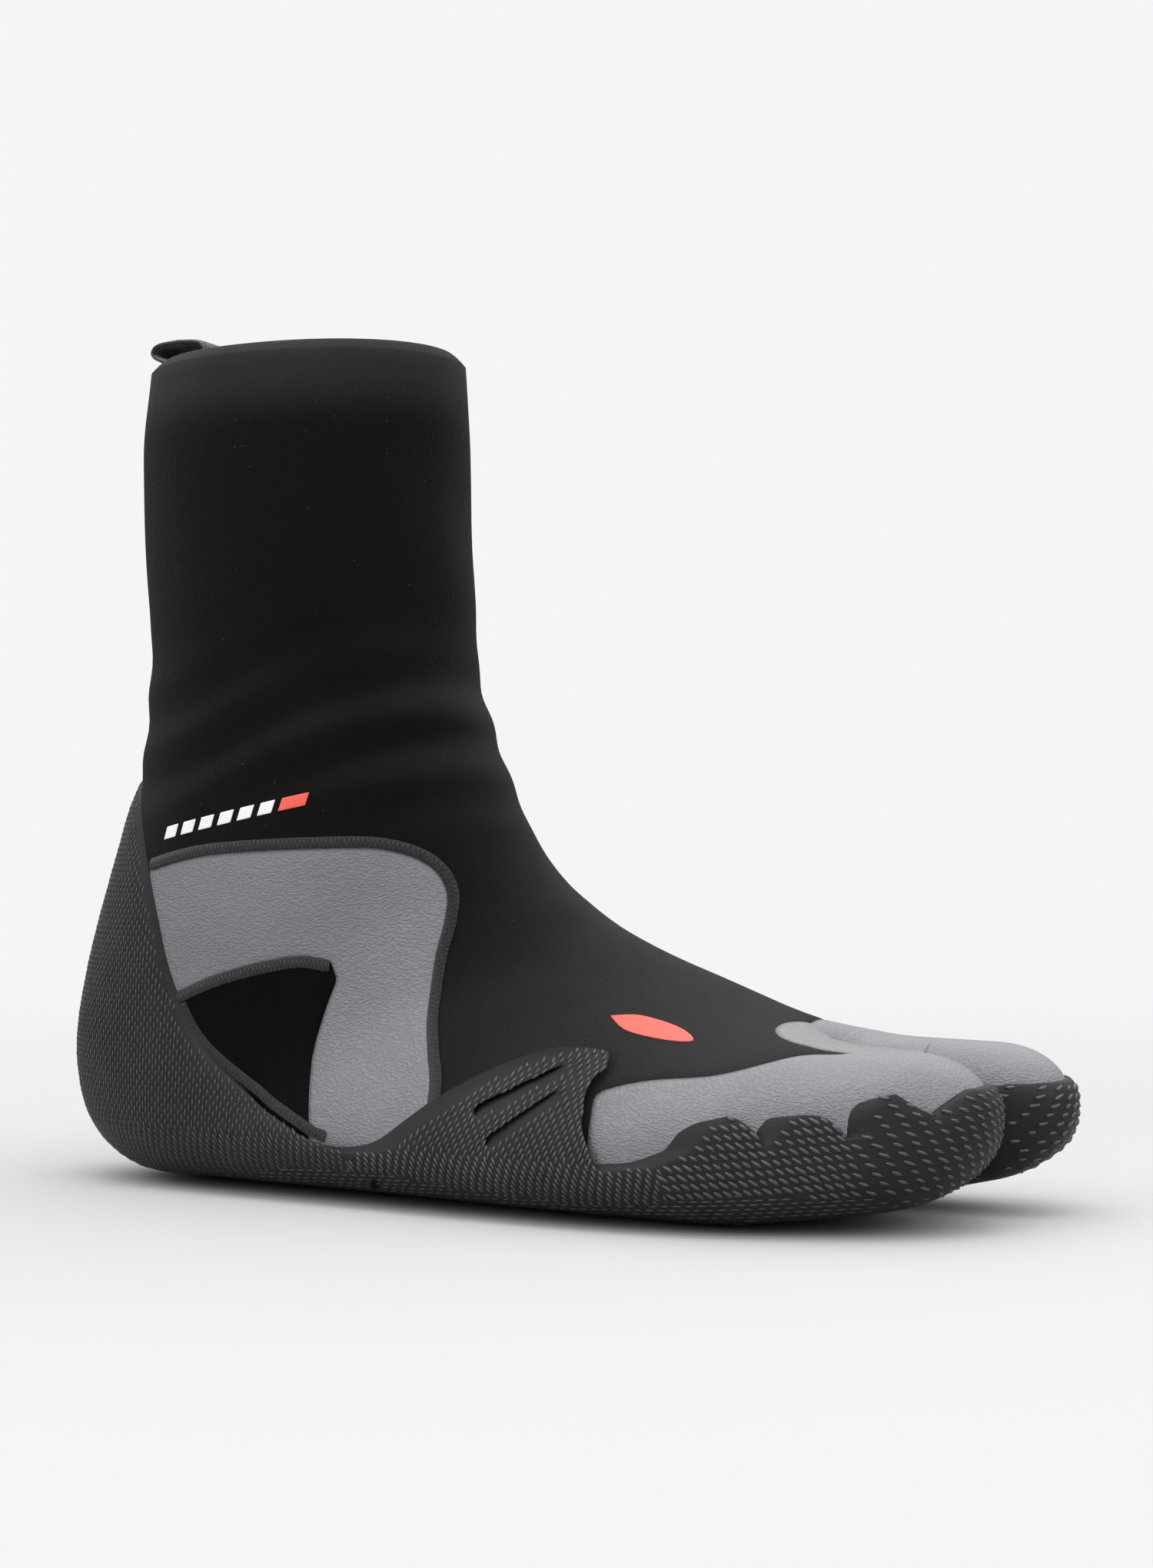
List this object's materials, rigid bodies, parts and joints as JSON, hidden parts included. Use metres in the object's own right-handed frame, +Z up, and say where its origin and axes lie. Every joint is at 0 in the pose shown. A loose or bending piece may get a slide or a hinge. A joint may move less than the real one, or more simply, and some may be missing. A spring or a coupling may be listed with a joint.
{
  "type": "neoprene boot",
  "caption": "Split-toe neoprene water-sports boot: rubber outsole with side wings, foam panels, knitted lining, flexing ankle and swinging pull loop.",
  "frame": {"origin": "middle of the boot's footprint box, on the ground under the sole", "axes": "+X from heel to toes, +Y towards the big toe side, +Z up"},
  "size_m": [0.2894, 0.1048, 0.2466],
  "materials": {
    "outsole_rubber": "matte moulded rubber with raised dashes",
    "black_jersey": "matte nylon jersey over neoprene foam",
    "grey_smoothskin": "embossed satin skin on neoprene foam",
    "black_smoothskin": "smooth satin skin on neoprene foam",
    "knit_lining": "brushed knit",
    "seam_tape": "stitched and glued tape",
    "white_print": "screen print",
    "coral_print": "screen print",
    "plug_rubber": "matte moulded rubber",
    "webbing": "woven polyester webbing"
  },
  "bodies": {
    "foot": {"outsole": "outsole_rubber", "strobel_base": "black_jersey", "ankle_band": "black_jersey", "vamp_panel": "black_jersey", "lateral_quarter_panel": "grey_smoothskin", "lateral_window_panel": "black_smoothskin", "medial_quarter_panel": "grey_smoothskin", "medial_window_panel": "black_smoothskin", "toe_cover": "grey_smoothskin", "ankle_lining": "knit_lining", "foot_lining": "knit_lining", "lateral_quarter_seam": "seam_tape", "medial_quarter_seam": "seam_tape", "lateral_window_seam": "seam_tape", "medial_window_seam": "seam_tape", "ankle_mark_bar": "white_print", "ankle_mark_tip": "coral_print", "vamp_mark": "coral_print", "drain_plug": "plug_rubber"},
    "leg": {"leg_panel": "black_jersey", "leg_lining": "knit_lining", "back_seam_tape": "seam_tape", "loop_end_lower": "webbing", "loop_end_upper": "webbing"},
    "loop": {"pull_loop": "webbing"}
  },
  "joints": [
    {"name": "ankle_flex", "type": "hinge", "parent": "foot", "child": "leg", "pos_m": [-0.0671, 0, 0.12], "axis": [0, 1, 0], "range_deg": [-20, 20], "stiffness_Nm_per_rad": 2, "deforming": ["ankle_band", "ankle_lining", "back_seam_tape"]},
    {"name": "pull_loop_swing", "type": "hinge", "parent": "leg", "child": "loop", "pos_m": [-0.1114, 0.0017, 0.2375], "axis": [0, 1, 0], "range_deg": [-4, 35], "stiffness_Nm_per_rad": 0.01}
  ]
}
